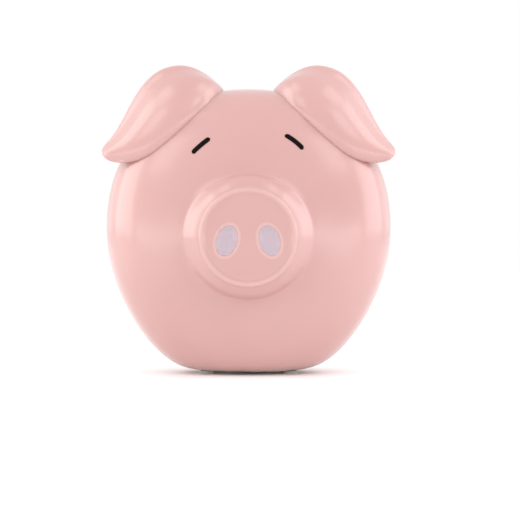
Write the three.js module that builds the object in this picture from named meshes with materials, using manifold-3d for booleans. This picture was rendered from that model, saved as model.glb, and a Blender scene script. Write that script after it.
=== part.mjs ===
// A glazed earthenware pig coin bank: a hollow slip-cast body with a snout, two lop ears and a
// curled tail luted on, painted eyes and nostrils, a rubber stopper in the base and four foot pads.
// Millimetres, +Z up. The face looks along -Y. The origin is on the table, under the middle of the bank.
import * as THREE from "three";
import { mergeVertices } from "three/addons/utils/BufferGeometryUtils.js";
import Module from "manifold-3d";

const wasm = await Module();
wasm.setup();

// ---- Driving dimensions ----

const HEIGHT = 179.8; // table to the top of the ears
const WIDTH = 169.9; // ear tip to ear tip
const DEPTH = 89.9; // front of the snout to the back of the tail
const WALL = 4; // slip-cast wall
const GAP = 0.3; // left between pieces that touch
const PAST = 1; // a cutter runs this far past the face that it cuts
const BIG = 200; // further than anything in the bank

// The pads stand at x and y either side of the middle of the base.
const PAD = { radius: 4, thickness: 1.2, x: 24, y: 6.5, sides: 20 };

const BODY = {
  halfWidth: 82.9,
  widestZ: 84, // height of the widest outline
  topHalf: 81, // from there up to the crest
  bottomHalf: 96, // from there down to where the outline would close below the table
  topRoundness: 2.2, // superellipse powers of the outline
  bottomRoundness: 1.9,
  midY: 4.5, // plane of the outline
  frontDepth: 38,
  backDepth: 36.2,
  depthRoundness: 2.5, // superellipse power of the section from front to back
  bottomHeaviness: 0.08, // share by which the lower half is deeper, and the upper half less deep
  baseRounding: 6, // how softly the outline turns into the flat base
  baseDrop: 1.8, // the rounded base is trimmed flat this far above its lowest level
  sides: 52, // round the outline
  steps: 10, // from the snout to the widest ring, and from there to the middle of the back
};
const CAVITY = { sides: 36, steps: 7 };

const SNOUT = {
  z: 80,
  frontY: -DEPTH / 2,
  discRadius: 28,
  dome: 0.7, // how far the middle of the disc stands in front of its edge
  discRings: [0.5, 0.85], // shares of the disc's radius
  edge: 1.5, // rounded edge of the disc
  flare: 8.5, // run of the wall from the disc's edge to the face
  flarePower: 1.1,
  flareSteps: 6,
  widen: 0.055, // the foot of the wall is this much wider than high
};

const NOSTRIL = {
  x: 12,
  z: 78,
  halfWidth: 6.3,
  halfHeight: 9.1,
  depth: 1.8,
  tilt: 0.32, // radians, the tops leaning in
  fill: 0.7, // from the front of the snout to the enamel
};

const BASE = { y: 4.5, recess: 3.6, recessRadius: 17.7, floor: 4.4 };

const STOPPER = {
  holeRadius: 14,
  flangeRadius: 16.5,
  flange: 2.2,
  clearance: 0.3,
  reach: 10.5, // how far the plug stands above its flange
  wall: 2,
  web: 1.8, // between the finger pockets and the cup above them
  pocketRadius: 10.3,
  pocketDepth: 5,
  grip: 3.4, // thickness of the finger bar between the pockets
};

const SLOT = { length: 36, width: 5, y: 14, bottomZ: 120 };

const EAR = {
  halfThickness: 7.5,
  roundness: 0.8, // power by which the thickness goes from the edges to the middle
  steps: 18,
};

// Each eye is a stroke of paint, from GAP to GAP + paint above the glaze.
const EYE = { width: 2.5, paint: 0.5, dots: 9, dotSides: 12 };

const TAIL = {
  x: 0,
  z: 62,
  radius: 2.6, // of the roll of clay
  turns: 1.2,
  innerRadius: 3.2,
  outerRadius: 10.4,
  lift: 1.2, // the inner end stands off the back by this much more than the free end
  knots: 14,
  steps: 30,
  curveSegments: 5,
};

// ---- Finishes ----

const finish = (color, roughness) => new THREE.MeshStandardMaterial({ color, roughness, metalness: 0 });
const pinkGlaze = finish(0xe9b5b0, 0.12);
const blackEnamel = finish(0x17110f, 0.25);
const lilacEnamel = finish(0xd6c2ca, 0.25);
const stopperRubber = finish(0x2b2a2c, 0.75);
const padFoam = finish(0x3a3637, 0.95);

// ---- Solids ----

// A three.js geometry as a manifold-3d solid.
function solid(geometry) {
  const bare = geometry.index ? geometry.toNonIndexed() : geometry.clone();
  bare.deleteAttribute("normal");
  bare.deleteAttribute("uv");
  const merged = mergeVertices(bare, 1e-3);
  return new wasm.Manifold(
    new wasm.Mesh({
      numProp: 3,
      vertProperties: merged.attributes.position.array,
      triVerts: new Uint32Array(merged.index.array),
    }),
  );
}

// A manifold-3d solid as a named three.js mesh.
function mesh(name, made, material) {
  const { vertProperties, triVerts } = made.getMesh();
  const geometry = new THREE.BufferGeometry();
  geometry.setAttribute("position", new THREE.BufferAttribute(vertProperties, 3));
  geometry.setIndex(new THREE.BufferAttribute(triVerts, 1));
  geometry.computeVertexNormals();
  const piece = new THREE.Mesh(geometry, material);
  piece.name = name;
  return piece;
}

const box = (x0, x1, y0, y1, z0, z1) =>
  solid(
    new THREE.BoxGeometry(x1 - x0, y1 - y0, z1 - z0).translate((x0 + x1) / 2, (y0 + y1) / 2, (z0 + z1) / 2),
  );

// An upright cylinder from z0 to z1.
const post = (radius, z0, z1, x = 0, y = 0, sides = 32) =>
  solid(
    new THREE.CylinderGeometry(radius, radius, z1 - z0, sides)
      .rotateX(Math.PI / 2)
      .translate(x, y, (z0 + z1) / 2),
  );

// A flat shape drawn in X and Y, standing from z0 to z1.
const upright = (shape, z0, z1) =>
  solid(new THREE.ExtrudeGeometry(shape, { depth: z1 - z0, bevelEnabled: false }).translate(0, 0, z0));

const mirrored = (made) => made.mirror([1, 0, 0]);

// ---- Body ----

// Distance from the middle of the outline to the outline, in the unit direction (x, z).
function outline(x, z, inset) {
  const half = z > 0 ? BODY.topHalf : BODY.bottomHalf;
  const power = z > 0 ? BODY.topRoundness : BODY.bottomRoundness;
  const across = (Math.abs(x) / (BODY.halfWidth - inset)) ** power;
  const up = (Math.abs(z) / (half - inset)) ** power;
  return (across + up) ** (-1 / power);
}

// A height, eased off so that nothing goes below the base.
function flattened(z, inset) {
  const level = baseZ - BODY.baseDrop + inset;
  const over = z - level;
  return level + (over + Math.hypot(over, BODY.baseRounding)) / 2;
}

// The section from the snout to the back: nominal ring radius against depth.
function section(inset, steps) {
  const disc = SNOUT.discRadius - inset;
  const front = SNOUT.frontY + inset;
  const width = BODY.halfWidth - inset;
  const power = 2 / BODY.depthRoundness;
  const frontDepth = BODY.frontDepth - inset;
  const face = (r) =>
    BODY.midY - frontDepth * (1 - (r / width) ** BODY.depthRoundness) ** (1 / BODY.depthRoundness);
  const points = [new THREE.Vector2(0, front)];
  for (const share of SNOUT.discRings) {
    points.push(new THREE.Vector2(disc * share, front + SNOUT.dome * share ** 2));
  }
  const edgeY = front + SNOUT.dome + SNOUT.edge;
  for (const angle of [Math.PI / 6, Math.PI / 3]) {
    points.push(
      new THREE.Vector2(disc - SNOUT.edge * (1 - Math.sin(angle)), edgeY - SNOUT.edge * Math.cos(angle)),
    );
  }
  for (let i = 0; i <= SNOUT.flareSteps; i++) {
    const share = i / SNOUT.flareSteps;
    const r = disc + SNOUT.flare * share;
    points.push(new THREE.Vector2(r, face(r) - (face(r) - edgeY) * (1 - share) ** SNOUT.flarePower));
  }
  const start = Math.asin(((disc + SNOUT.flare) / width) ** (1 / power));
  for (let i = 1; i <= steps; i++) {
    const angle = start + ((Math.PI / 2 - start) * i) / steps;
    points.push(
      new THREE.Vector2(
        width * Math.sin(angle) ** power,
        BODY.midY - frontDepth * Math.max(0, Math.cos(angle)) ** power,
      ),
    );
  }
  for (let i = 1; i <= steps; i++) {
    const angle = (Math.PI / 2) * (1 - i / steps);
    points.push(
      new THREE.Vector2(
        width * Math.sin(angle) ** power,
        BODY.midY + (BODY.backDepth - inset) * Math.cos(angle) ** power,
      ),
    );
  }
  return points;
}

// The closed body surface, taken in by inset: a lathed section whose rings pass from the round
// snout to the body's outline.
function bodySurface(inset, sides, steps) {
  const geometry = new THREE.LatheGeometry(section(inset, steps), sides);
  const position = geometry.attributes.position;
  const foot = SNOUT.discRadius - inset;
  for (let i = 0; i < position.count; i++) {
    const x = position.getX(i);
    const y = position.getY(i);
    const z = position.getZ(i);
    const r = Math.hypot(x, z);
    if (r < 1e-6) {
      position.setZ(i, SNOUT.z);
      continue;
    }
    const front = y < BODY.midY;
    const share = THREE.MathUtils.smoothstep(r, front ? foot : 0, BODY.halfWidth - inset);
    const round = outline(x / r, z / r, inset) / (BODY.halfWidth - inset);
    const scale = THREE.MathUtils.lerp(1, round, share);
    const flared = (r - foot) / SNOUT.flare;
    const widen = front ? SNOUT.widen * THREE.MathUtils.smoothstep(flared, 0, 1) * (1 - share) : 0;
    const middleZ = THREE.MathUtils.lerp(SNOUT.z, BODY.widestZ, share);
    const newZ = flattened(middleZ + z * scale * (1 - widen), inset);
    const deeper = 1 + (share * BODY.bottomHeaviness * (BODY.widestZ - newZ)) / BODY.widestZ;
    position.setXYZ(i, x * scale * (1 + widen), BODY.midY + (y - BODY.midY) * deeper, newZ);
  }
  return solid(geometry);
}

const baseZ = PAD.thickness + GAP;
const panelZ = baseZ + BASE.recess;
const floorZ = panelZ + BASE.floor;

const above = (z) => box(-BIG, BIG, -BIG, BIG, z, BIG);
const outer = bodySurface(0, BODY.sides, BODY.steps);
const outerClear = bodySurface(-GAP, BODY.sides, BODY.steps);
const cavity = bodySurface(WALL, CAVITY.sides, CAVITY.steps).intersect(above(floorZ));

// A slot with round ends, along X.
function slotShape(length, width, y) {
  const reach = (length - width) / 2;
  const shape = new THREE.Shape();
  shape.moveTo(-reach, y - width / 2);
  shape.lineTo(reach, y - width / 2);
  shape.absarc(reach, y, width / 2, -Math.PI / 2, Math.PI / 2);
  shape.lineTo(-reach, y + width / 2);
  shape.absarc(-reach, y, width / 2, Math.PI / 2, (3 * Math.PI) / 2);
  return shape;
}

// A flat egg-shaped lens on the snout's disc, for the nostril at +X.
const nostril = (grow, depth) =>
  solid(
    new THREE.SphereGeometry(1, 20, 10)
      .scale(NOSTRIL.halfWidth + grow, depth, NOSTRIL.halfHeight + grow)
      .rotateY(-NOSTRIL.tilt)
      .translate(NOSTRIL.x, SNOUT.frontY + SNOUT.dome / 2, NOSTRIL.z),
  );

const bodyShell = outer
  .intersect(above(baseZ))
  .subtract(cavity)
  .subtract(post(BASE.recessRadius, baseZ - PAST, panelZ, 0, BASE.y))
  .subtract(post(STOPPER.holeRadius, panelZ - PAST, floorZ + PAST, 0, BASE.y))
  .subtract(upright(slotShape(SLOT.length, SLOT.width, SLOT.y), SLOT.bottomZ, BIG))
  .subtract(nostril(0, NOSTRIL.depth))
  .subtract(mirrored(nostril(0, NOSTRIL.depth)));

// The enamel lies in the bottom of each nostril.
const nostrilFill = nostril(-GAP, NOSTRIL.depth - GAP).intersect(
  box(-BIG, BIG, SNOUT.frontY + NOSTRIL.fill, 0, 0, BIG),
);

// ---- Ears ----

// Both edges of the ear at -X, from its root on the crest to its tip.
const EAR_ROOT = [-13.5, 3, 163.5];
const EAR_TIP = [-WIDTH / 2, -9, 128.4];
const EAR_LOWER = [
  EAR_ROOT,
  [-26, -14.5, 155.3],
  [-38, -20.5, 144.8],
  [-50.2, -22.5, 133],
  [-61, -21.5, 124.8],
  [-71.2, -16.5, 122.2],
  [-80, -11.5, 124],
  EAR_TIP,
];
const EAR_UPPER = [
  EAR_ROOT,
  [-18, 6.5, 169.4],
  [-29, 8, HEIGHT - 3.6],
  [-41.5, 7.5, HEIGHT - 0.2],
  [-54, 5.5, HEIGHT - 5],
  [-68.8, 1, 157.1],
  [-78, -4, 140.5],
  EAR_TIP,
];

const curve = (points) => new THREE.CatmullRomCurve3(points.map((p) => new THREE.Vector3(...p)));

// A sphere drawn out along the ear: its poles lie at the root and the tip, and its rings run
// round from the lower edge, over the front, to the upper edge and back behind.
function earSurface() {
  const lower = curve(EAR_LOWER);
  const upper = curve(EAR_UPPER);
  const geometry = new THREE.SphereGeometry(1, EAR.steps, EAR.steps);
  const position = geometry.attributes.position;
  for (let i = 0; i < position.count; i++) {
    const along = THREE.MathUtils.clamp((1 - position.getY(i)) / 2, 0, 1);
    const ring = Math.hypot(position.getX(i), position.getZ(i));
    const turn = Math.atan2(position.getZ(i), position.getX(i));
    const low = lower.getPoint(along);
    const high = upper.getPoint(along);
    const middle = low.clone().add(high).multiplyScalar(0.5);
    const halfWidth = high.clone().sub(low).multiplyScalar(0.5);
    const tangent = lower.getTangent(along).add(upper.getTangent(along));
    const facing = tangent.cross(halfWidth).normalize();
    const thickness = EAR.halfThickness * ring ** EAR.roundness;
    const point = middle
      .addScaledVector(halfWidth, Math.cos(turn))
      .addScaledVector(facing, thickness * Math.sin(turn));
    position.setXYZ(i, point.x, point.y, point.z);
  }
  return solid(geometry);
}

const ear = earSurface().subtract(outerClear);

// ---- Tail ----

// One curl lying on the back, opening out to its free end.
function tailSurface() {
  const points = [];
  for (let i = 0; i <= TAIL.knots; i++) {
    const share = i / TAIL.knots;
    const angle = share * TAIL.turns * 2 * Math.PI - Math.PI / 2;
    const curl = THREE.MathUtils.lerp(TAIL.innerRadius, TAIL.outerRadius, share);
    points.push([
      TAIL.x + curl * Math.cos(angle),
      DEPTH / 2 - TAIL.radius - TAIL.lift * share,
      TAIL.z + curl * Math.sin(angle),
    ]);
  }
  const profile = new THREE.Shape().absarc(0, 0, TAIL.radius, 0, 2 * Math.PI);
  const { steps, curveSegments } = TAIL;
  return solid(new THREE.ExtrudeGeometry(profile, { steps, curveSegments, extrudePath: curve(points) }));
}

const tail = tailSurface().subtract(outerClear);

// ---- Painted eyes ----

// Each stroke is drawn as seen from the front, in X and Z.
const EYE_LEFT = [[-31, 127.8], [-27.2, 131.7], [-22.9, 134.6]];
const EYE_RIGHT = [[21.8, 136.7], [26.3, 133.8], [30.2, 130.1]];

function eyeStroke([from, through, to]) {
  const path = new THREE.SplineCurve([from, through, to].map(([x, z]) => new THREE.Vector2(x, z)));
  const dots = path.getPoints(EYE.dots - 1).map((point) =>
    solid(
      new THREE.CylinderGeometry(EYE.width / 2, EYE.width / 2, BODY.frontDepth, EYE.dotSides).translate(
        point.x,
        BODY.midY - BODY.frontDepth / 2,
        point.y,
      ),
    ),
  );
  return dots
    .reduce((stroke, dot) => stroke.add(dot))
    .intersect(bodySurface(-GAP - EYE.paint, BODY.sides, BODY.steps))
    .subtract(outerClear);
}

// ---- Stopper and pads ----

// A soft plug: a flange, a cup that grips the hole, and two finger pockets with a bar between them.
function stopperSolid() {
  const plugRadius = STOPPER.holeRadius - STOPPER.clearance;
  const top = panelZ - GAP;
  const bottom = top - STOPPER.flange;
  const end = top + STOPPER.reach;
  const cupFloor = bottom + STOPPER.pocketDepth + STOPPER.web;
  const bar = box(-BIG, BIG, BASE.y - STOPPER.grip / 2, BASE.y + STOPPER.grip / 2, 0, BIG);
  const pockets = post(STOPPER.pocketRadius, bottom - PAST, bottom + STOPPER.pocketDepth, 0, BASE.y);
  return post(STOPPER.flangeRadius, bottom, top, 0, BASE.y)
    .add(post(plugRadius, (bottom + top) / 2, end, 0, BASE.y))
    .subtract(post(plugRadius - STOPPER.wall, cupFloor, end + PAST, 0, BASE.y))
    .subtract(pockets.subtract(bar));
}

const footPad = (x, y) => post(PAD.radius, 0, PAD.thickness, x, y, PAD.sides);

// ---- The bank ----

const bank = new THREE.Group();
bank.add(
  mesh("body_shell", bodyShell, pinkGlaze),
  mesh("ear_left", ear, pinkGlaze),
  mesh("ear_right", mirrored(ear), pinkGlaze),
  mesh("tail", tail, pinkGlaze),
  mesh("eye_left", eyeStroke(EYE_LEFT), blackEnamel),
  mesh("eye_right", eyeStroke(EYE_RIGHT), blackEnamel),
  mesh("nostril_left", mirrored(nostrilFill), lilacEnamel),
  mesh("nostril_right", nostrilFill, lilacEnamel),
  mesh("stopper", stopperSolid(), stopperRubber),
);
const corners = { front_left: [-1, -1], front_right: [1, -1], back_left: [-1, 1], back_right: [1, 1] };
for (const [corner, [x, y]] of Object.entries(corners)) {
  bank.add(mesh(`foot_pad_${corner}`, footPad(x * PAD.x, BASE.y + y * PAD.y), padFoam));
}

export default bank;
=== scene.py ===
import math

import bmesh
import bpy
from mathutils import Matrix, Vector


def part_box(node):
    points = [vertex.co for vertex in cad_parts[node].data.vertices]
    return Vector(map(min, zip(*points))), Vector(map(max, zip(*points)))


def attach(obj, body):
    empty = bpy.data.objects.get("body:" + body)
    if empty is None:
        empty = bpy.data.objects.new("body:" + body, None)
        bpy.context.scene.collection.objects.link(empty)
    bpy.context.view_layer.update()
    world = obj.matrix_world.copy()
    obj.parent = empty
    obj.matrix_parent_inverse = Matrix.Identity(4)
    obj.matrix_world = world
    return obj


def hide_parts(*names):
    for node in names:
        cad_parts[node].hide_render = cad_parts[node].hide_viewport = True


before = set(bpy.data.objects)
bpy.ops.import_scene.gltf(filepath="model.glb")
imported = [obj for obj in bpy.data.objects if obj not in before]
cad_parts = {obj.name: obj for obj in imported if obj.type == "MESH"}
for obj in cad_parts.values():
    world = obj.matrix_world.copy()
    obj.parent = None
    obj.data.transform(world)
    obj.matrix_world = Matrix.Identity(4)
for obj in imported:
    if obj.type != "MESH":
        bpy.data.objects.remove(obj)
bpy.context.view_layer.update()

# ---- Body shell ----
# Slip-cast earthenware, poured in a plaster mould that forms face, snout and foot in one piece, with an
# even 4 mm wall. The coin slot is cut behind the crest while the clay is leather-hard. It is dipped in
# pink glaze and stands on a foot that is wiped bare.

MM = 0.001
body_low, body_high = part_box("body_shell")
HALF_WIDTH = body_high.x
CREST_Z = body_high.z
FOOT_Z = body_low.z
WALL = 4 * MM
WIDEST_Z = 84 * MM
BOTTOM_HALF = 96 * MM  # from the widest level down to where the outline would close, below the bench
TOP_ROUNDNESS = 2.2
BOTTOM_ROUNDNESS = 1.9
MIDDLE_Y = 4.5 * MM
FRONT_DEPTH = 38 * MM
BACK_DEPTH = 36.2 * MM
DEPTH_ROUNDNESS = 2.5
BOTTOM_HEAVINESS = 0.08
SIDES = 56
# How far out the rings lie, as shares of the depth. The slot is cut between the first two at the back.
BACK_RINGS = (0.155, 0.375, 0.56, 0.71, 0.83, 0.92, 0.972, 0.9952)
FRONT_RINGS = (0.155, 0.375, 0.56, 0.71, 0.82, 0.9)


def take(piece):
    """Takes one piece in hand."""
    bpy.ops.object.select_all(action="DESELECT")
    piece.select_set(True)
    bpy.context.view_layer.objects.active = piece


def pick(kind, test):
    """Selects what passes the test, given the element, its middle and its normal."""
    bpy.ops.mesh.select_mode(type=kind)
    bpy.ops.mesh.select_all(action="DESELECT")
    mesh = bmesh.from_edit_mesh(bpy.context.object.data)
    if kind == "VERT":
        for vert in mesh.verts:
            vert.select_set(test(vert, vert.co, vert.normal))
    elif kind == "EDGE":
        for edge in mesh.edges:
            edge.select_set(test(edge, (edge.verts[0].co + edge.verts[1].co) / 2, None))
    else:
        for face in mesh.faces:
            face.select_set(test(face, face.calc_center_median(), face.normal))
    mesh.select_flush_mode()
    bmesh.update_edit_mesh(bpy.context.object.data)


def picked_reach():
    """The furthest that the selection reaches in X."""
    mesh = bmesh.from_edit_mesh(bpy.context.object.data)
    return max(abs(vert.co.x) for vert in mesh.verts if vert.select)


def outline_reach(across, up):
    """From the middle of the outline to the outline, in one direction."""
    half_height = CREST_Z - WIDEST_Z if up > 0 else BOTTOM_HALF
    power = TOP_ROUNDNESS if up > 0 else BOTTOM_ROUNDNESS
    return ((abs(across) / HALF_WIDTH) ** power + (abs(up) / half_height) ** power) ** (-1 / power)


def rounded_share(value, low, high):
    """From 0 at low to 1 at high, eased at both ends."""
    share = min(max((value - low) / (high - low), 0), 1)
    return share * share * (3 - 2 * share)


# The outline: a ring at mid-depth, each pair of its points drawn out or in.
bpy.ops.object.select_all(action="DESELECT")
bpy.ops.mesh.primitive_circle_add(
    vertices=SIDES,
    radius=HALF_WIDTH,
    location=(0, MIDDLE_Y, WIDEST_Z),
    rotation=(math.pi / 2, 0, 0),
)
body = bpy.context.object
body.name = "glazed_body"
bpy.ops.object.transform_apply(location=True, rotation=True, scale=True)
bpy.ops.object.mode_set(mode="EDIT")
for step in range(SIDES // 2 + 1):
    turn = math.pi * (2 * step / SIDES - 0.5)
    pick("VERT", lambda vert, at, normal: abs(math.atan2(at.z - WIDEST_Z, abs(at.x)) - turn) < 0.01)
    drawn = outline_reach(math.cos(turn), math.sin(turn)) / HALF_WIDTH
    bpy.ops.transform.resize(value=(drawn, 1, drawn), center_override=(0, MIDDLE_Y, WIDEST_Z))

# The snout stands on the front, a little below the middle.
SNOUT_Z = 80 * MM
SNOUT_FRONT = body_low.y
DISC_RADIUS = 28 * MM
DISC_SINK = 0.8 * MM  # the disc lies this far behind the crest of its rounded lip
LIP = 1.7 * MM
FLARE = 7 * MM  # run of the snout's wall out to the face
FLARE_POWER = 1.2
FLARE_STEPS = 6
WIDEN = 0.08  # the flare is this much wider than round, and as much less high
# Radius of each ring inside the lip, in millimetres, and its share of the sink.
DISC_RINGS = ((25.3, 0.25), (24.4, 0.8), (23.2, 1), (21.5, 1))

ring = {}


def start_rings():
    """Goes back to the outline."""
    ring.update(y=MIDDLE_Y, z=WIDEST_Z, widen=0.0, egg=1.0)


def next_ring(y, half_width, egg, widen=0.0):
    """Extrudes the open edge to its next ring. egg is how much of the outline's own shape is left in it."""
    z = SNOUT_Z + (WIDEST_Z - SNOUT_Z) * egg
    bpy.ops.mesh.extrude_edges_move(TRANSFORM_OT_translate={"value": (0, y - ring["y"], z - ring["z"])})
    if egg < ring["egg"]:
        bpy.ops.transform.tosphere(value=1 - egg / ring["egg"], center_override=(0, y, z))
    across = half_width * (1 + widen) / picked_reach()
    squeeze = (1 - widen) / (1 + widen) * (1 + ring["widen"]) / (1 - ring["widen"])
    bpy.ops.transform.resize(value=(across, 1, across * squeeze), center_override=(0, y, z))
    ring.update(y=y, z=z, widen=widen, egg=egg)


def width_at(share):
    """Half width of the ring at this share of the depth."""
    return HALF_WIDTH * (1 - share**DEPTH_ROUNDNESS) ** (1 / DEPTH_ROUNDNESS)


start_rings()
pick("EDGE", lambda edge, at, normal: True)
for share in BACK_RINGS:
    next_ring(MIDDLE_Y + BACK_DEPTH * share, width_at(share), rounded_share(width_at(share), 0, HALF_WIDTH))
bpy.ops.mesh.extrude_edges_move(TRANSFORM_OT_translate={"value": (0, BACK_DEPTH * (1 - BACK_RINGS[-1]), 0)})
bpy.ops.mesh.merge(type="CENTER")

start_rings()
pick("EDGE", lambda edge, at, normal: abs(at.y - MIDDLE_Y) < 0.1 * MM)
for share in FRONT_RINGS:
    egg = rounded_share(width_at(share), DISC_RADIUS, HALF_WIDTH)
    next_ring(MIDDLE_Y - FRONT_DEPTH * share, width_at(share), egg, WIDEN * (1 - egg))
bpy.ops.object.mode_set(mode="OBJECT")

# The lower half is a little deeper than the upper half.
bpy.ops.object.empty_add(location=(0, MIDDLE_Y, WIDEST_Z))
pivot = bpy.context.object
take(body)
bpy.ops.object.modifier_add(type="SIMPLE_DEFORM")
deepen = body.modifiers[-1]
deepen.deform_method = "TAPER"
deepen.deform_axis = "Z"
deepen.lock_x = True
deepen.origin = pivot
deepen.factor = -BOTTOM_HEAVINESS * body.dimensions.z / WIDEST_Z
bpy.ops.object.modifier_apply(modifier=deepen.name)
bpy.data.objects.remove(pivot)

# The snout's wall, flaring from the face to the disc, and the lip rolled round the disc.
bpy.ops.object.mode_set(mode="EDIT")


def face_y(radius):
    """How far forward the face would reach at this radius, without the snout."""
    return MIDDLE_Y - FRONT_DEPTH * (1 - (radius / HALF_WIDTH) ** DEPTH_ROUNDNESS) ** (1 / DEPTH_ROUNDNESS)


edge_y = SNOUT_FRONT + LIP
pick("EDGE", lambda edge, at, normal: edge.is_boundary)
for step in range(FLARE_STEPS, -1, -1):
    share = step / FLARE_STEPS
    radius = DISC_RADIUS + FLARE * share
    y = face_y(radius) - (face_y(radius) - edge_y) * (1 - share) ** FLARE_POWER
    egg = rounded_share(radius, DISC_RADIUS, HALF_WIDTH)
    next_ring(y, radius, egg, WIDEN * rounded_share(share, 0, 1) * (1 - egg))
    if step == FLARE_STEPS:
        bpy.ops.transform.resize(value=(1, 0, 1), center_override=(0, y, SNOUT_Z))
for turn in (math.pi / 6, math.pi / 3, math.pi / 2):
    next_ring(edge_y - LIP * math.sin(turn), DISC_RADIUS - LIP * (1 - math.cos(turn)), 0)
for radius, sunk in DISC_RINGS:
    next_ring(SNOUT_FRONT + DISC_SINK * sunk, radius * MM, 0)
bpy.ops.mesh.fill_grid(span=SIDES // 4)

# The foot is pressed flat: softly at first, and fully at its lowest level.
# Millimetres above the foot, and how much of its height the clay below keeps.
FOOT_PRESSES = ((11.5, 0.93), (7, 0.88), (4, 0.8), (2.3, 0.75), (1.1, 0.5))
for level, kept in FOOT_PRESSES:
    top = FOOT_Z + level * MM
    pick("VERT", lambda vert, at, normal: at.z < top)
    bpy.ops.transform.resize(value=(1, 1, kept), center_override=(0, 0, top))
pick("VERT", lambda vert, at, normal: at.z < FOOT_Z)
bpy.ops.transform.resize(value=(1, 1, 0), center_override=(0, 0, FOOT_Z))
bpy.ops.mesh.select_all(action="SELECT")
bpy.ops.mesh.normals_make_consistent(inside=False)
bpy.ops.object.mode_set(mode="OBJECT")


def smooth_out(piece, levels):
    """Subdivides the piece in hand to a smooth surface."""
    bpy.ops.object.modifier_add(type="SUBSURF")
    smooth = piece.modifiers[-1]
    smooth.levels = levels
    smooth.render_levels = levels
    bpy.ops.object.modifier_apply(modifier=smooth.name)


# The closed outside is kept as a former: ears and tail are cut to it, and the eyes are laid on it.
bpy.ops.object.duplicate()
former = bpy.context.object
former.name = "former"
smooth_out(former, 2)
take(body)
bpy.ops.object.mode_set(mode="EDIT")

# The coin slot: four faces between the first two rings at the back of the crest, taken in and cut out.
SLOT_LENGTH = 36 * MM
SLOT_WIDTH = 5 * MM
SLOT_Y = 14 * MM
SLOT_INSET = 1.5 * MM


def over_the_slot(face, at, normal):
    """On the crest, inside the slot's length and width."""
    return abs(at.x) < SLOT_LENGTH / 2 and abs(at.y - SLOT_Y) < SLOT_WIDTH / 2 and normal.z > 0.5


pick("FACE", over_the_slot)
bpy.ops.mesh.inset(thickness=SLOT_INSET)
bpy.ops.mesh.delete(type="FACE")
bpy.ops.object.mode_set(mode="OBJECT")


def add_node(tree, kind, sockets, **settings):
    """Adds a shader node. Each socket is given a value, or the output of another node."""
    made = tree.nodes.new("ShaderNode" + kind)
    for setting, value in settings.items():
        setattr(made, setting, value)
    for socket, value in sockets.items():
        if isinstance(value, bpy.types.NodeSocket):
            tree.links.new(value, made.inputs[socket])
        else:
            made.inputs[socket].default_value = value
    return made


def tinted(tree, share, first, second):
    """From the first colour to the second, by share."""
    mix = add_node(tree, "Mix", {0: share, 6: first, 7: second}, data_type="RGBA")
    return mix.outputs[2]


def stepped(tree, value, low, high, to_low=0.0, to_high=1.0):
    """A value eased from to_low to to_high as it goes from low to high."""
    sockets = {"Value": value, "From Min": low, "From Max": high, "To Min": to_low, "To Max": to_high}
    return add_node(tree, "MapRange", sockets, interpolation_type="SMOOTHSTEP").outputs["Result"]


def new_finish(name):
    """A material's node tree, its shader, and the place of each point on the piece."""
    finish = bpy.data.materials.new(name)
    finish.use_nodes = True
    tree = finish.node_tree
    place = add_node(tree, "TexCoord", {}).outputs["Object"]
    return finish, tree, tree.nodes["Principled BSDF"], place


def noise(tree, place, size, detail=2.0):
    """Soft mottling, its patches about this size in metres."""
    sockets = {"Vector": place, "Scale": 1 / size, "Detail": detail, "Roughness": 0.5}
    return add_node(tree, "TexNoise", sockets).outputs["Fac"]


# The dishes of the nostrils, which show in the glaze too: paler on their rims, partly thin glaze and partly
# a painted highlight.
NOSTRIL_X = 12 * MM
NOSTRIL_Z = 78 * MM
NOSTRIL_HALF_WIDTH = 6.6 * MM
NOSTRIL_HALF_HEIGHT = 9.4 * MM
NOSTRIL_TILT = 0.32
NOSTRIL_WALL = 2.4 * MM  # the disc rolls over into the dish across this much
NOSTRIL_DEPTH = 1.3 * MM


def nostril_rim(tree, place, side):
    """Where the glaze runs thin over the rim of a nostril, painted paler as a highlight as well."""
    centre = (side * NOSTRIL_X, SNOUT_FRONT, NOSTRIL_Z)
    sockets = {"Vector": place, "Center": centre, "Axis": (0, 1, 0), "Angle": side * NOSTRIL_TILT}
    upright = add_node(tree, "VectorRotate", sockets, rotation_type="AXIS_ANGLE").outputs[0]
    offset = add_node(tree, "VectorMath", {0: upright, 1: centre}, operation="SUBTRACT").outputs[0]
    half = (NOSTRIL_HALF_WIDTH, 20 * MM, NOSTRIL_HALF_HEIGHT)
    shares = add_node(tree, "VectorMath", {0: offset, 1: half}, operation="DIVIDE").outputs[0]
    reach = add_node(tree, "VectorMath", {0: shares}, operation="LENGTH").outputs["Value"]
    return stepped(tree, reach, 1.0, 1.22, 0.4, 0.0)


PINK = (0.538, 0.3, 0.284, 1)
PINK_DEEP = (0.51, 0.277, 0.261, 1)
# Paler glaze where it runs thin, used also as a painted highlight on edges and rims.
PINK_THIN_AND_HIGHLIGHT = (0.68, 0.44, 0.405, 1)
# Pooled glaze, also a painted shade laid in the creases and hollows that the occlusion finds.
PINK_POOLED_AND_SHADED = (0.44, 0.205, 0.188, 1)
SPECK = (0.35, 0.2, 0.16, 1)
BARE_CLAY = (0.83, 0.74, 0.64, 1)
BARE_CLAY_DARK = (0.74, 0.64, 0.53, 1)
COAT_ROUGHNESS = 0.18
COAT_IOR = 1.5
GLAZE_WAVER = 0.5 * MM  # how far the wiped edge of the glaze wanders
# How far the occlusion looks for hollows to darken, for pooled glaze and painted shade.
POOLING_AND_SHADE_REACH = 8 * MM
BENCH_CLEARANCE = (4 * MM, 14 * MM)  # no pooling or painted shade below the first height, and full from the second


def arithmetic(tree, operation, first, second=0.0, **settings):
    """One sum, of two values or of one."""
    return add_node(tree, "Math", {0: first, 1: second}, operation=operation, **settings).outputs[0]


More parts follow.
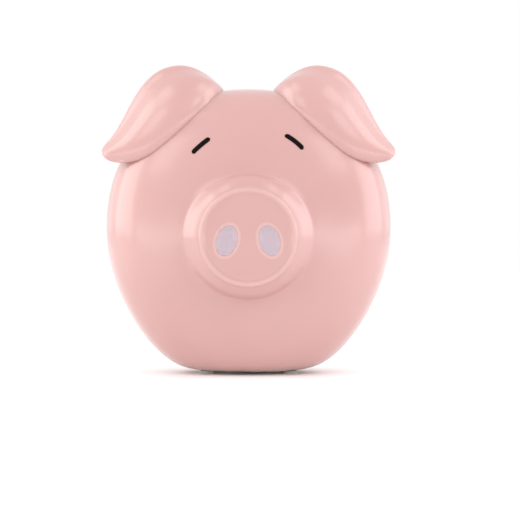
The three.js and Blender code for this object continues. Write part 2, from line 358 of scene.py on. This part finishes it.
def pink_glaze():
    """Clear pink glaze on a white body: paler where it runs thin over an edge, with a painted highlight
    there, and deeper where it pools, with painted shade in the hollows and creases.
    """
    finish, tree, shader, place = new_finish("pink_glaze")
    part = add_node(tree, "SeparateXYZ", {"Vector": place}).outputs
    colour = tinted(tree, stepped(tree, noise(tree, place, size=0.07), 0.3, 0.7), PINK_DEEP, PINK)

    # Thin glaze, painted paler as a highlight too, on sharp edges, except on the snout, where it is thin
    # and painted paler on the lip alone.
    snout = stepped(tree, part["Y"], SNOUT_FRONT + LIP, SNOUT_FRONT + 2 * LIP, 1.0, 0.0)
    edge = add_node(tree, "NewGeometry", {}).outputs["Pointiness"]
    edge = arithmetic(tree, "SUBTRACT", stepped(tree, edge, 0.505, 0.55, 0.0, 0.6), snout, use_clamp=True)
    colour = tinted(tree, edge, colour, PINK_THIN_AND_HIGHLIGHT)
    across = add_node(tree, "CombineXYZ", {"X": part["X"], "Z": part["Z"]}).outputs[0]
    middle = (0, 0, SNOUT_Z)
    reach = add_node(tree, "VectorMath", {0: across, 1: middle}, operation="DISTANCE").outputs["Value"]
    from_lip = arithmetic(tree, "ABSOLUTE", arithmetic(tree, "SUBTRACT", reach, DISC_RADIUS - 0.8 * LIP))
    lip = stepped(tree, from_lip, 0.3 * MM, 2 * MM, 0.36, 0.0)
    colour = tinted(tree, arithmetic(tree, "MULTIPLY", lip, snout), colour, PINK_THIN_AND_HIGHLIGHT)
    # The nostril rims are painted paler too: thin glaze and a painted highlight.
    for side in (-1, 1):
        colour = tinted(tree, nostril_rim(tree, place, side), colour, PINK_THIN_AND_HIGHLIGHT)

    # Pooled in the hollows, with painted shade laid there too from the occlusion, and specked here and
    # there.
    hollow = add_node(tree, "AmbientOcclusion", {"Distance": POOLING_AND_SHADE_REACH}, samples=8).outputs["AO"]
    pooled_and_shaded = stepped(tree, hollow, 0.3, 0.95, 0.4, 0.0)
    pooled_and_shaded = arithmetic(tree, "MULTIPLY", pooled_and_shaded, stepped(tree, part["Z"], *BENCH_CLEARANCE))
    colour = tinted(tree, pooled_and_shaded, colour, PINK_POOLED_AND_SHADED)
    speck = stepped(tree, noise(tree, place, size=0.0009, detail=0.0), 0.78, 0.82, 0.0, 0.12)
    colour = tinted(tree, speck, colour, SPECK)

    # Wiped off the foot, along an edge that wanders.
    waver = stepped(tree, noise(tree, place, size=0.012), 0.3, 0.7, 0.0, GLAZE_WAVER)
    height = arithmetic(tree, "SUBTRACT", part["Z"], waver)
    glazed = stepped(tree, height, FOOT_Z + 0.2 * MM, FOOT_Z + 0.7 * MM)
    tree.links.new(tinted(tree, glazed, BARE_CLAY, colour), shader.inputs["Base Color"])
    tree.links.new(stepped(tree, glazed, 0, 1, 0.8, 0.32), shader.inputs["Roughness"])
    tree.links.new(glazed, shader.inputs["Coat Weight"])
    shader.inputs["Coat Roughness"].default_value = COAT_ROUGHNESS
    shader.inputs["Coat IOR"].default_value = COAT_IOR

    # Slow waves in the clay, and a fine orange peel.
    waves = {"Height": noise(tree, place, size=0.02, detail=1.0), "Strength": 0.12, "Distance": 0.4 * MM}
    waves = add_node(tree, "Bump", waves).outputs["Normal"]
    peel = {"Height": noise(tree, place, size=0.0022, detail=1.0), "Strength": 0.06, "Distance": 0.1 * MM}
    peel = add_node(tree, "Bump", {**peel, "Normal": waves}).outputs["Normal"]
    tree.links.new(peel, shader.inputs["Normal"])
    tree.links.new(peel, shader.inputs["Coat Normal"])
    return finish


def bare_clay():
    """Unglazed earthenware: chalky, with a fine tooth and a few grains of grog."""
    finish, tree, shader, place = new_finish("bare_clay")
    colour = tinted(tree, noise(tree, place, size=0.03, detail=4.0), BARE_CLAY, BARE_CLAY_DARK)
    grain = stepped(tree, noise(tree, place, size=0.0007, detail=1.0), 0.68, 0.76, 0.0, 0.5)
    tree.links.new(tinted(tree, grain, colour, SPECK), shader.inputs["Base Color"])
    shader.inputs["Roughness"].default_value = 0.85
    tooth = {"Height": noise(tree, place, size=0.0008, detail=3.0), "Strength": 0.3, "Distance": 0.1 * MM}
    tree.links.new(add_node(tree, "Bump", tooth).outputs["Normal"], shader.inputs["Normal"])
    return finish


glaze = pink_glaze()
clay = bare_clay()

body.data.materials.append(glaze)
body.data.materials.append(clay)

# The wall, with bare clay on the inside, thicker at the foot.
FLOOR_Z = FOOT_Z + 8 * MM
take(body)
bpy.ops.object.modifier_add(type="SOLIDIFY")
wall = body.modifiers[-1]
wall.thickness = WALL
wall.offset = -1
wall.use_even_offset = True
wall.material_offset = 1
wall.edge_crease_rim = 0.3
bpy.ops.object.modifier_apply(modifier=wall.name)
bpy.ops.object.mode_set(mode="EDIT")
pick("FACE", lambda face, at, normal: face.material_index == 1 and at.z < FLOOR_Z)
mesh = bmesh.from_edit_mesh(body.data)
for vert in mesh.verts:
    vert.select = vert.select and vert.co.z < FLOOR_Z
bmesh.update_edit_mesh(body.data)
bpy.ops.transform.resize(value=(1, 1, 0), center_override=(0, 0, FLOOR_Z))
bpy.ops.object.mode_set(mode="OBJECT")
smooth_out(body, 2)
bpy.ops.object.shade_smooth()

# The nostrils are pushed into the soft disc as two shallow dishes, their tops leaning in.
bpy.ops.object.mode_set(mode="EDIT")
for side in (-1, 1):

    def in_the_dish(vert, at, normal):
        """Inside the oval, less the width of its wall."""
        across = at.x - side * NOSTRIL_X
        up = at.z - NOSTRIL_Z
        along = up * math.cos(NOSTRIL_TILT) - side * across * math.sin(NOSTRIL_TILT)
        over = across * math.cos(NOSTRIL_TILT) + side * up * math.sin(NOSTRIL_TILT)
        over /= NOSTRIL_HALF_WIDTH - NOSTRIL_WALL
        along /= NOSTRIL_HALF_HEIGHT - NOSTRIL_WALL
        return at.y < SNOUT_FRONT + 2 * DISC_SINK and math.hypot(over, along) < 1

    pick("VERT", in_the_dish)
    bpy.ops.transform.translate(
        value=(0, NOSTRIL_DEPTH, 0),
        use_proportional_edit=True,
        proportional_edit_falloff="SMOOTH",
        proportional_size=NOSTRIL_WALL,
    )
bpy.ops.object.mode_set(mode="OBJECT")

# The stopper hole and the recess around it, cut through the foot with softened rims.
# Millimetres: radius and height, from below the bench to inside the money chamber.
HOLE_PROFILE = (
    (18.6, -2),
    (18.6, 1.4),
    (18, 1.65),
    (17.7, 2.2),
    (17.7, 4.5),
    (17.4, 4.95),
    (16.9, 5.1),
    (14.8, 5.1),
    (14.25, 5.3),
    (14, 5.8),
    (14, 12),
)


def turned(name, x, y, profile, sides):
    """A closed round piece: a ring drawn up through each radius and height of its profile."""
    bpy.ops.object.select_all(action="DESELECT")
    radius, height = profile[0]
    bpy.ops.mesh.primitive_circle_add(vertices=sides, radius=radius * MM, location=(x, y, height * MM))
    piece = bpy.context.object
    piece.name = name
    bpy.ops.object.transform_apply(location=True, rotation=True, scale=True)
    bpy.ops.object.mode_set(mode="EDIT")
    bpy.ops.mesh.select_all(action="SELECT")
    for wider, higher in profile[1:]:
        bpy.ops.mesh.extrude_edges_move(TRANSFORM_OT_translate={"value": (0, 0, (higher - height) * MM)})
        grown = wider / radius
        bpy.ops.transform.resize(value=(grown, grown, 1), center_override=(x, y, higher * MM))
        radius, height = wider, higher
    bpy.ops.mesh.select_all(action="SELECT")
    bpy.ops.mesh.fill_holes(sides=0)
    bpy.ops.mesh.normals_make_consistent(inside=False)
    bpy.ops.object.mode_set(mode="OBJECT")
    return piece


def cut(piece, cutter, solver="EXACT"):
    """Takes the cutter's shape out of the piece."""
    take(piece)
    bpy.ops.object.modifier_add(type="BOOLEAN")
    bite = piece.modifiers[-1]
    bite.operation = "DIFFERENCE"
    bite.solver = solver
    bite.object = cutter
    bpy.ops.object.modifier_apply(modifier=bite.name)


cutter = turned("hole_cutter", 0, MIDDLE_Y, HOLE_PROFILE, sides=96)
cutter.data.materials.append(glaze)
cutter.data.materials.append(clay)
bpy.ops.object.mode_set(mode="EDIT")
bpy.ops.mesh.select_all(action="SELECT")
cutter.active_material_index = 1
bpy.ops.object.material_slot_assign()
bpy.ops.object.mode_set(mode="OBJECT")
cut(body, cutter)
bpy.data.objects.remove(cutter)
bpy.ops.object.shade_smooth_by_angle(angle=math.radians(35))
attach(body, "bank")
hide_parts("body_shell")

# ---- Ears ----
# Two lop ears, pressed solid from the same clay, bowed forward and luted to the crest, then glazed with the
# body. Each is worked lying flat, root to tip along X, and then leant back, turned down and set in place.

EAR_ROOT = (13.5 * MM, 3 * MM, 163.5 * MM)
EAR_LEAN = math.radians(37)
EAR_FORWARD = math.radians(8.6)
EAR_DROOP = math.radians(26.2)
# The section, as shares of the half width and half thickness: a ridge along the front, a rolled outer rim.
EAR_SECTION = (
    (-1, 0),
    (-0.9, -0.42),
    (-0.62, -0.8),
    (-0.25, -1),
    (0.1, -0.93),
    (0.4, -0.66),
    (0.66, -0.4),
    (0.88, -0.36),
    (1, 0),
    (0.92, 0.3),
    (0.7, 0.5),
    (0.38, 0.64),
    (0, 0.7),
    (-0.38, 0.64),
    (-0.7, 0.5),
    (-0.92, 0.3),
)
# Millimetres: along the ear, its lower edge, its upper edge, how far it bows forward, half its thickness.
EAR_RINGS = (
    (3, -2.1, 10.9, 2.6, 4.5),
    (8, -6.3, 18.6, 6.1, 6.2),
    (15, -11, 25, 9.7, 7.3),
    (30, -16.7, 28.6, 11.2, 7.8),
    (46, -20.6, 22.6, 7.9, 7.6),
    (60, -21, 12, 4.2, 6.6),
    (70, -16, 6, 1, 5.4),
    (76.5, -10.4, 4, -0.3, 4.2),
    (79.8, -6.4, 1.6, -0.3, 2.6),
)
EAR_START = (0.5, 0, 2, 0.5, 1)  # the circle that it grows from, in the same measures
EAR_ASIDE = 0.2 * MM  # points that are done stand aside, so that none is taken twice
bpy.ops.object.select_all(action="DESELECT")
bpy.ops.mesh.primitive_circle_add(
    vertices=len(EAR_SECTION),
    radius=MM,
    location=(0, 0, 0),
    rotation=(0, math.pi / 2, 0),
)
ear = bpy.context.object
ear.name = "ear_right_glazed"
bpy.ops.object.transform_apply(location=True, rotation=True, scale=True)
bpy.ops.object.mode_set(mode="EDIT")
for number, (across, deep) in enumerate(EAR_SECTION):
    turn = 2 * math.pi * number / len(EAR_SECTION)
    was = Vector((0, -math.sin(turn), -math.cos(turn))) * MM
    pick("VERT", lambda vert, at, normal: (at - was).length < 0.05 * MM)
    bpy.ops.transform.translate(value=Vector((EAR_ASIDE, deep * MM, across * MM)) - was)
bpy.ops.mesh.select_all(action="SELECT")
bpy.ops.transform.translate(value=(-EAR_ASIDE, 0, 0))
last = EAR_START
bpy.ops.transform.translate(value=(last[0] * MM, -last[3] * MM, (last[1] + last[2]) / 2 * MM))
for along, low, high, bow, thick in EAR_RINGS:
    move = ((along - last[0]) * MM, (last[3] - bow) * MM, (low + high - last[1] - last[2]) / 2 * MM)
    bpy.ops.mesh.extrude_edges_move(TRANSFORM_OT_translate={"value": move})
    centre = (along * MM, -bow * MM, (low + high) / 2 * MM)
    widen = (high - low) / (last[2] - last[1])
    bpy.ops.transform.resize(value=(1, thick / last[4], widen), center_override=centre)
    last = (along, low, high, bow, thick)
bpy.ops.mesh.extrude_edges_move(TRANSFORM_OT_translate={"value": (1 * MM, 0, 0)})
bpy.ops.mesh.merge(type="CENTER")
bpy.ops.mesh.select_all(action="SELECT")
bpy.ops.mesh.fill_holes(sides=0)
bpy.ops.mesh.normals_make_consistent(inside=False)
bpy.ops.transform.rotate(value=EAR_LEAN, orient_axis="X", center_override=(0, 0, 0))
bpy.ops.transform.rotate(value=-EAR_DROOP, orient_axis="Y", center_override=(0, 0, 0))
bpy.ops.transform.rotate(value=EAR_FORWARD, orient_axis="Z", center_override=(0, 0, 0))
bpy.ops.transform.translate(value=EAR_ROOT)
bpy.ops.object.mode_set(mode="OBJECT")
smooth_out(ear, 3)
ear.data.materials.append(glaze)
cut(ear, former)
bpy.ops.object.shade_smooth_by_angle(angle=math.radians(50))

# The other ear is its mirror image.
bpy.ops.object.duplicate()
other_ear = bpy.context.object
other_ear.name = "ear_left_glazed"
bpy.ops.object.mode_set(mode="EDIT")
bpy.ops.mesh.select_all(action="SELECT")
bpy.ops.transform.resize(value=(-1, 1, 1), center_override=(0, 0, 0))
bpy.ops.mesh.normals_make_consistent(inside=False)
bpy.ops.object.mode_set(mode="OBJECT")
for piece, node in ((ear, "ear_right"), (other_ear, "ear_left")):
    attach(piece, "bank")
    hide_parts(node)

# ---- Tail ----
# A roll of the same clay, thinner towards its tip, curled up on the bench and luted flat to the back.

TAIL_Z = 62 * MM
TAIL_TURNS = 1.2
TAIL_INNER = 3.2 * MM
TAIL_OUTER = 10.4 * MM
TAIL_THICK = 2.6 * MM
TAIL_THIN = 1.3 * MM
TAIL_LEVEL = 0.86  # from this share of its length on, the root goes down into the back
TAIL_SINK = 3.4 * MM
TAIL_SIDES = 12
TAIL_STEPS = 36
BACK_Y = body_high.y


def along_the_tail(share):
    """The turn, place and half thickness of the roll, from its tip to its root."""
    turn = share * TAIL_TURNS * 2 * math.pi - math.pi / 2
    curl = TAIL_INNER + (TAIL_OUTER - TAIL_INNER) * share
    half = TAIL_THIN + (TAIL_THICK - TAIL_THIN) * share**0.7
    rise = 0.6 * half - TAIL_SINK * max(0, (share - TAIL_LEVEL) / (1 - TAIL_LEVEL)) ** 2
    return turn, Vector((curl * math.cos(turn), BACK_Y + rise, TAIL_Z + curl * math.sin(turn))), half


bpy.ops.object.select_all(action="DESELECT")
turn, place, half = along_the_tail(0)
tip = place - Vector((0.7 * half, 0, 0))
bpy.ops.mesh.primitive_circle_add(
    vertices=TAIL_SIDES,
    radius=0.6 * half,
    location=tip,
    rotation=(0, math.pi / 2, 0),
)
tail = bpy.context.object
tail.name = "tail_glazed"
bpy.ops.object.transform_apply(location=True, rotation=True, scale=True)
bpy.ops.object.mode_set(mode="EDIT")
bpy.ops.mesh.select_all(action="SELECT")
was_turn, was_place, was_half = turn, tip, 0.6 * half
for step in range(TAIL_STEPS + 1):
    turn, place, half = along_the_tail(step / TAIL_STEPS)
    bpy.ops.mesh.extrude_edges_move(TRANSFORM_OT_translate={"value": place - was_place})
    bpy.ops.transform.rotate(value=turn - was_turn, orient_axis="Y", center_override=place)
    grown = half / was_half
    bpy.ops.transform.resize(value=(grown, grown, grown), center_override=place)
    was_turn, was_place, was_half = turn, place, half
bpy.ops.mesh.select_all(action="SELECT")
bpy.ops.mesh.fill_holes(sides=0)
pick("FACE", lambda face, at, normal: len(face.verts) == TAIL_SIDES)
bpy.ops.mesh.inset(thickness=0.4 * MM)
bpy.ops.mesh.select_all(action="SELECT")
bpy.ops.mesh.normals_make_consistent(inside=False)
bpy.ops.object.mode_set(mode="OBJECT")
smooth_out(tail, 2)
tail.data.materials.append(glaze)
cut(tail, former)
bpy.ops.object.shade_smooth_by_angle(angle=math.radians(50))
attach(tail, "bank")
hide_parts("tail")

# ---- Eyes ----
# Each eye is one stroke of black enamel laid on the glaze with a round brush: even in width, round at both
# ends, slightly bowed, and standing a little proud before the last firing.

EYE_LENGTH = 13.2 * MM
EYE_WIDTH = 2.7 * MM
EYE_PROUD = 0.35 * MM
EYE_COLUMNS = 20
# Millimetres and degrees: the middle of each eye across and up, how it slopes, and how far it bows.
EYES = (("left", -26.9, 131.5, 40.5, 0.3), ("right", 26, 133.6, -38, 0.6))


def enamel(name, colour, shade, roughness, shine):
    """Overglaze enamel: streaks of the brush in its colour, a hard shine on top."""
    finish, tree, shader, place = new_finish(name)
    streak = noise(tree, place, size=0.0016, detail=3.0)
    brushed = tinted(tree, stepped(tree, streak, 0.35, 0.7), colour, shade)
    tree.links.new(brushed, shader.inputs["Base Color"])
    shader.inputs["Roughness"].default_value = roughness
    shader.inputs["Specular IOR Level"].default_value = shine
    shader.inputs["Coat Weight"].default_value = shine
    shader.inputs["Coat Roughness"].default_value = 0.1
    wave = {"Height": noise(tree, place, size=0.0018, detail=1.0), "Strength": 0.25, "Distance": 0.1 * MM}
    wave = add_node(tree, "Bump", wave).outputs["Normal"]
    tree.links.new(wave, shader.inputs["Normal"])
    tree.links.new(wave, shader.inputs["Coat Normal"])
    return finish


def lay_on(piece, surface, thickness):
    """Presses a flat film onto a surface from in front, and gives it thickness."""
    take(piece)
    bpy.ops.object.modifier_add(type="SHRINKWRAP")
    press = piece.modifiers[-1]
    press.wrap_method = "PROJECT"
    press.use_project_y = True
    press.use_positive_direction = True
    press.use_negative_direction = False
    press.target = surface
    bpy.ops.object.modifier_apply(modifier=press.name)
    bpy.ops.object.modifier_add(type="SOLIDIFY")
    film = piece.modifiers[-1]
    film.thickness = thickness
    film.offset = 0.85
    bpy.ops.object.modifier_apply(modifier=film.name)
    smooth_out(piece, 2)
    bpy.ops.object.shade_smooth()


BLACK = (0.004, 0.0035, 0.0035, 1)
BLACK_THIN = (0.01, 0.007, 0.006, 1)
black_enamel = enamel("black_enamel", BLACK, BLACK_THIN, roughness=0.45, shine=0.03)
for side, middle_x, middle_z, slope, bow in EYES:
    bpy.ops.object.select_all(action="DESELECT")
    bpy.ops.mesh.primitive_grid_add(
        x_subdivisions=EYE_COLUMNS,
        y_subdivisions=4,
        size=1,
        location=(0, SNOUT_FRONT, 0),
        rotation=(math.pi / 2, 0, 0),
    )
    eye = bpy.context.object
    eye.name = "eye_" + side + "_enamel"
    bpy.ops.object.transform_apply(location=True, rotation=True, scale=True)
    bpy.ops.object.mode_set(mode="EDIT")
    bpy.ops.mesh.select_all(action="SELECT")
    bpy.ops.transform.resize(value=(EYE_LENGTH, 1, EYE_WIDTH), center_override=(0, 0, 0))
    for column in range(EYE_COLUMNS + 1):
        x = EYE_LENGTH * (column / EYE_COLUMNS - 0.5)
        pick("VERT", lambda vert, at, normal: abs(at.x - x) < 0.01 * MM)
        beyond = max(0, abs(x) - EYE_LENGTH / 2 + EYE_WIDTH / 2) / (EYE_WIDTH / 2)
        narrow = max(math.sqrt(max(1 - beyond**2, 0)), 0.2)
        bpy.ops.transform.resize(value=(1, 1, narrow), center_override=(x, 0, 0))
        bpy.ops.transform.translate(value=(0, 0, bow * MM * (1 - (2 * x / EYE_LENGTH) ** 2)))
    bpy.ops.mesh.select_all(action="SELECT")
    bpy.ops.transform.rotate(value=math.radians(slope), orient_axis="Y", center_override=(0, 0, 0))
    bpy.ops.transform.translate(value=(middle_x * MM, 0, middle_z * MM))
    bpy.ops.object.mode_set(mode="OBJECT")
    lay_on(eye, former, EYE_PROUD)
    eye.data.materials.append(black_enamel)
    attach(eye, "bank")
    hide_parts("eye_" + side)

# ---- Nostrils ----
# A pool of pale lilac enamel run into each dish of the snout, thin at its edge.

POOL_SIDES = 28
POOL_RINGS = 5
POOL_MARGIN = 0.6 * MM
POOL_PROUD = 0.35 * MM
LILAC = (0.44, 0.355, 0.405, 1)
LILAC_THIN = (0.465, 0.37, 0.415, 1)
lilac_enamel = enamel("lilac_enamel", LILAC, LILAC_THIN, roughness=0.4, shine=0.35)
for side, name in ((-1, "left"), (1, "right")):
    bpy.ops.object.select_all(action="DESELECT")
    bpy.ops.mesh.primitive_circle_add(
        vertices=POOL_SIDES,
        radius=1,
        location=(0, SNOUT_FRONT - 2 * MM, 0),
        rotation=(math.pi / 2, 0, 0),
    )
    pool = bpy.context.object
    pool.name = "nostril_" + name + "_enamel"
    bpy.ops.object.transform_apply(location=True, rotation=True, scale=True)
    bpy.ops.object.mode_set(mode="EDIT")
    bpy.ops.mesh.select_all(action="SELECT")
    oval = (NOSTRIL_HALF_WIDTH - POOL_MARGIN, 1, NOSTRIL_HALF_HEIGHT - POOL_MARGIN)
    bpy.ops.transform.resize(value=oval, center_override=(0, 0, 0))
    for ring_left in range(POOL_RINGS - 1, 0, -1):
        bpy.ops.mesh.extrude_edges_move(TRANSFORM_OT_translate={"value": (0, 0, 0)})
        inwards = ring_left / (ring_left + 1)
        bpy.ops.transform.resize(value=(inwards, 1, inwards), center_override=(0, 0, 0))
    bpy.ops.mesh.extrude_edges_move(TRANSFORM_OT_translate={"value": (0, 0, 0)})
    bpy.ops.mesh.merge(type="CENTER")
    bpy.ops.mesh.select_all(action="SELECT")
    bpy.ops.mesh.normals_make_consistent(inside=False)
    bpy.ops.transform.rotate(value=side * NOSTRIL_TILT, orient_axis="Y", center_override=(0, 0, 0))
    bpy.ops.transform.translate(value=(side * NOSTRIL_X, 0, NOSTRIL_Z))
    bpy.ops.object.mode_set(mode="OBJECT")
    lay_on(pool, body, POOL_PROUD)
    pool.data.materials.append(lilac_enamel)
    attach(pool, "bank")
    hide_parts("nostril_" + name)
bpy.data.objects.remove(former)

# ---- Stopper ----
# A soft rubber stopper, moulded in one piece: a flange that closes the recess, two sealing ribs in the
# hole, a hollow plug, and two half-moon pockets with a bar between them to take hold of.

# Millimetres: radius and height, from the middle of the flange round to the floor of the cup.
STOPPER_PROFILE = (
    (0.6, 2.6),
    (6, 2.6),
    (15.7, 2.6),
    (16.3, 2.75),
    (16.5, 3.2),
    (16.5, 4.2),
    (16.3, 4.65),
    (15.8, 4.8),
    (14.3, 4.8),
    (13.7, 5.1),
    (13.55, 5.9),
    (13.95, 6.4),
    (13.55, 6.9),
    (13.55, 7.9),
    (13.95, 8.4),
    (13.55, 8.9),
    (13.55, 9.7),
    (13.85, 10.6),
    (13.7, 11.8),
    (13.2, 14.6),
    (12.8, 15.2),
    (12.3, 15.3),
    (11.8, 15.1),
    (11.6, 14.5),
    (11.6, 10.2),
    (11.2, 9.6),
    (10.4, 9.4),
    (5, 9.4),
    (0.6, 9.4),
)
POCKET_RADIUS = 10.3 * MM
POCKET_TOP = 7.6 * MM
POCKET_EDGE = 0.7 * MM
GRIP = 3.4 * MM  # the bar between the pockets


def stopper_rubber():
    """Moulded rubber: matt, a little bloomed, with the fine texture of the mould and dust in it."""
    finish, tree, shader, place = new_finish("stopper_rubber")
    colour = tinted(tree, noise(tree, place, size=0.006, detail=4.0), RUBBER, RUBBER_BLOOM)
    dust = stepped(tree, noise(tree, place, size=0.0006, detail=1.0), 0.66, 0.74, 0.0, 0.5)
    tree.links.new(tinted(tree, dust, colour, DUST), shader.inputs["Base Color"])
    matt = stepped(tree, noise(tree, place, size=0.003), 0.3, 0.7, 0.5, 0.68)
    tree.links.new(matt, shader.inputs["Roughness"])
    skin = {"Height": noise(tree, place, size=0.0005), "Strength": 0.25, "Distance": 0.05 * MM}
    tree.links.new(add_node(tree, "Bump", skin).outputs["Normal"], shader.inputs["Normal"])
    return finish


RUBBER = (0.62, 0.6, 0.56, 1)
RUBBER_BLOOM = (0.7, 0.69, 0.66, 1)
DUST = (0.45, 0.42, 0.38, 1)
stopper = turned("stopper_rubber", 0, MIDDLE_Y, STOPPER_PROFILE, sides=64)
bpy.ops.object.select_all(action="DESELECT")
bpy.ops.mesh.primitive_cylinder_add(
    vertices=48,
    radius=POCKET_RADIUS,
    depth=POCKET_TOP,
    location=(0, MIDDLE_Y, POCKET_TOP / 2),
)
cutter = bpy.context.object
bpy.ops.object.transform_apply(location=True, rotation=True, scale=True)
bpy.ops.object.mode_set(mode="EDIT")
bpy.ops.mesh.select_all(action="SELECT")
bpy.ops.mesh.bisect(
    plane_co=(0, MIDDLE_Y + GRIP / 2, 0),
    plane_no=(0, 1, 0),
    use_fill=True,
    clear_inner=True,
)
pick("EDGE", lambda edge, at, normal: at.z > 1 * MM)
bpy.ops.mesh.bevel(offset=POCKET_EDGE, segments=3, affect="EDGES")
bpy.ops.mesh.select_all(action="SELECT")
bpy.ops.mesh.normals_make_consistent(inside=False)
bpy.ops.object.mode_set(mode="OBJECT")
for turn in (0, math.pi):
    take(cutter)
    bpy.ops.object.mode_set(mode="EDIT")
    bpy.ops.mesh.select_all(action="SELECT")
    bpy.ops.transform.rotate(value=turn, orient_axis="Z", center_override=(0, MIDDLE_Y, 0))
    bpy.ops.object.mode_set(mode="OBJECT")
    cut(stopper, cutter, "MANIFOLD")
bpy.data.objects.remove(cutter)
take(stopper)
bpy.ops.object.modifier_add(type="BEVEL")
soften = stopper.modifiers[-1]
soften.width = 0.3 * MM
soften.segments = 3
soften.limit_method = "ANGLE"
soften.angle_limit = math.radians(50)
bpy.ops.object.modifier_apply(modifier=soften.name)
bpy.ops.object.shade_smooth_by_angle(angle=math.radians(40))
bpy.ops.object.modifier_add(type="WEIGHTED_NORMAL")
stopper.modifiers[-1].keep_sharp = True
bpy.ops.object.modifier_apply(modifier=stopper.modifiers[-1].name)
stopper.data.materials.append(stopper_rubber())
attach(stopper, "stopper")
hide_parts("stopper")

# ---- Foot pads ----
# Four die-cut discs of closed-cell foam, each held to the bare foot by its own film of adhesive.

PAD_X = 24 * MM
PAD_Y = 6.5 * MM
# Millimetres: radius and height, from the bench up through the foam and the film.
PAD_PROFILE = (
    (0.5, 0),
    (3.6, 0),
    (3.9, 0.12),
    (4, 0.4),
    (4, 0.95),
    (3.95, 1.2),
    (3.9, 1.3),
    (3.9, 1.5),
    (0.5, 1.5),
)
CELL_SCALE = 2800.0  # cells to the metre


def pad_foam():
    """Closed-cell foam: matt pale grey, pitted with cells."""
    finish, tree, shader, place = new_finish("pad_foam")
    cells = add_node(tree, "TexVoronoi", {"Vector": place, "Scale": CELL_SCALE}).outputs["Distance"]
    colour = tinted(tree, stepped(tree, cells, 0.1, 0.6), FOAM_CELL, FOAM)
    worn = tinted(tree, noise(tree, place, size=0.004), colour, FOAM_WORN)
    tree.links.new(worn, shader.inputs["Base Color"])
    shader.inputs["Roughness"].default_value = 0.9
    pits = add_node(tree, "Bump", {"Height": cells, "Strength": 0.5, "Distance": 0.1 * MM})
    tree.links.new(pits.outputs["Normal"], shader.inputs["Normal"])
    return finish


FOAM = (0.42, 0.4, 0.39, 1)
FOAM_CELL = (0.24, 0.22, 0.21, 1)
FOAM_WORN = (0.5, 0.47, 0.45, 1)
foam = pad_foam()
for depth, y in (("front", MIDDLE_Y - PAD_Y), ("back", MIDDLE_Y + PAD_Y)):
    for side, x in (("left", -PAD_X), ("right", PAD_X)):
        pad = turned("pad_" + depth + "_" + side, x, y, PAD_PROFILE, sides=48)
        bpy.ops.object.shade_smooth_by_angle(angle=math.radians(35))
        pad.data.materials.append(foam)
        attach(pad, "bank")
        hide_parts("foot_pad_" + depth + "_" + side)

# ---- Studio ----
# The bank stands on a plain white floor in a white room, with soft boxes to its left and right. The camera
# looks straight at the face, from a little above the snout.

FLOOR_SIZE = 3
FLOOR_COLOUR = (0.96, 0.96, 0.96, 1)
FRAME_WIDTH = 0.302
DISTANCE = 1.2
SENSOR = 36
ELEVATION = math.radians(2)
AIM = Vector((0.0066, 0, 0.0657))
WARM = (1, 0.97, 0.94)
ROSY = (1, 0.95, 0.97)
# Each lamp's place, the height on the bank that it is aimed at, its width and height, its power and colour.
# Left and right in pairs: level with the bank, above it, high in front, behind it, and low in front.
# Between the last two pairs, a wide fill from behind the camera.
LAMPS = (
    ((-0.88, -0.1, 0.55), 0.55, (0.6, 1), 4.3, WARM),
    ((0.88, -0.1, 0.55), 0.55, (0.6, 1), 3.8, ROSY),
    ((-0.62, -0.2, 1.15), 0.1, (0.6, 0.4), 1, WARM),
    ((0.62, -0.2, 1.15), 0.1, (0.6, 0.4), 1, ROSY),
    ((-0.67, -0.74, 0.8), 0.1, (0.4, 0.4), 0.8, WARM),
    ((0.67, -0.74, 0.8), 0.1, (0.4, 0.4), 0.8, ROSY),
    ((-0.85, 0.45, 0.6), 0.6, (0.7, 1.1), 1, WARM),
    ((0.85, 0.45, 0.6), 0.6, (0.7, 1.1), 1, ROSY),
    ((0, -1.5, 0.2), 0.2, (1.6, 0.3), 1.1, WARM),
    ((-0.75, -0.9, 0.09), 0.03, (0.8, 0.16), 0.75, WARM),
    ((0.75, -0.9, 0.09), 0.03, (0.8, 0.16), 0.85, ROSY),
)
bpy.ops.object.select_all(action="DESELECT")
bpy.ops.mesh.primitive_plane_add(size=FLOOR_SIZE, location=(0, 0, 0))
floor = bpy.context.object
floor.name = "floor"
paint = bpy.data.materials.new("floor_paint")
paint.use_nodes = True
paint.node_tree.nodes["Principled BSDF"].inputs["Base Color"].default_value = FLOOR_COLOUR
floor.data.materials.append(paint)
world = bpy.data.worlds.new("studio")
world.use_nodes = True
world.node_tree.nodes["Background"].inputs["Color"].default_value = (1, 1, 1, 1)
world.node_tree.nodes["Background"].inputs["Strength"].default_value = 1
bpy.context.scene.world = world
for place, aim_z, size, power, colour in LAMPS:
    bpy.ops.object.light_add(type="AREA", location=place)
    lamp = bpy.context.object
    lamp.data.shape = "RECTANGLE"
    lamp.data.size = size[0]
    lamp.data.size_y = size[1]
    lamp.data.energy = power
    lamp.data.color = colour
    lamp.rotation_euler = (Vector((0, 0, aim_z)) - lamp.location).to_track_quat("-Z", "Y").to_euler()
bpy.ops.object.camera_add()
camera = bpy.context.object
camera.data.sensor_width = SENSOR
camera.data.lens = SENSOR * DISTANCE / FRAME_WIDTH
camera.location = AIM + Vector((0, -math.cos(ELEVATION), math.sin(ELEVATION))) * DISTANCE
camera.rotation_euler = (AIM - camera.location).to_track_quat("-Z", "Y").to_euler()
bpy.context.scene.camera = camera
bpy.context.scene.view_settings.view_transform = "Standard"
